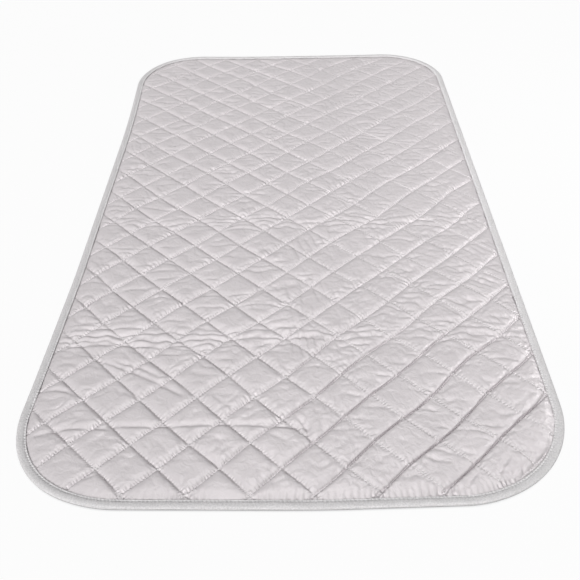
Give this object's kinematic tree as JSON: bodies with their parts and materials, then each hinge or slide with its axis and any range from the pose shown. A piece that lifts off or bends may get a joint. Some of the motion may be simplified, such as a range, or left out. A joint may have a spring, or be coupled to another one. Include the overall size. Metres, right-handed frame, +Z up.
{
  "type": "ironing pad",
  "caption": "Quilted ironing pad: silver-coated face cover, wadding and backing cloth sewn in diamonds, with a taped edge; lies flat and folds at its crosswise creases.",
  "frame": {"origin": "centre of the pad's underside, on the surface that it lies on", "axes": "+X across the pad, +Y along its length from the front edge to the back edge, +Z up through the silver face"},
  "size_m": [0.48, 0.85, 0.0068],
  "materials": {
    "face_cloth": "silver-grey coated woven cloth with a satin sheen",
    "wadding": "loose white fibre wadding",
    "backing_cloth": "plain light grey woven cloth",
    "binding_tape": "matt grey woven tape",
    "thread": "light grey sewing thread"
  },
  "bodies": {
    "front_panel": {"front_face_cover": "face_cloth", "front_wadding": "wadding", "front_backing": "backing_cloth", "front_binding": "binding_tape", "front_binding_thread": "thread"},
    "middle_panel": {"middle_face_cover": "face_cloth", "middle_wadding": "wadding", "middle_backing": "backing_cloth", "middle_binding_left": "binding_tape", "middle_binding_right": "binding_tape", "middle_binding_thread_left": "thread", "middle_binding_thread_right": "thread"},
    "back_panel": {"back_face_cover": "face_cloth", "back_wadding": "wadding", "back_backing": "backing_cloth", "back_binding": "binding_tape", "back_binding_thread": "thread"}
  },
  "joints": [
    {"name": "middle_fold", "type": "hinge", "parent": "back_panel", "child": "middle_panel", "pos_m": [0, -0.045, 0.0071], "axis": [-1, 0, 0], "range_deg": [0, 180]},
    {"name": "front_fold", "type": "hinge", "parent": "middle_panel", "child": "front_panel", "pos_m": [0, -0.235, -0.0003], "axis": [1, 0, 0], "range_deg": [0, 180]}
  ]
}
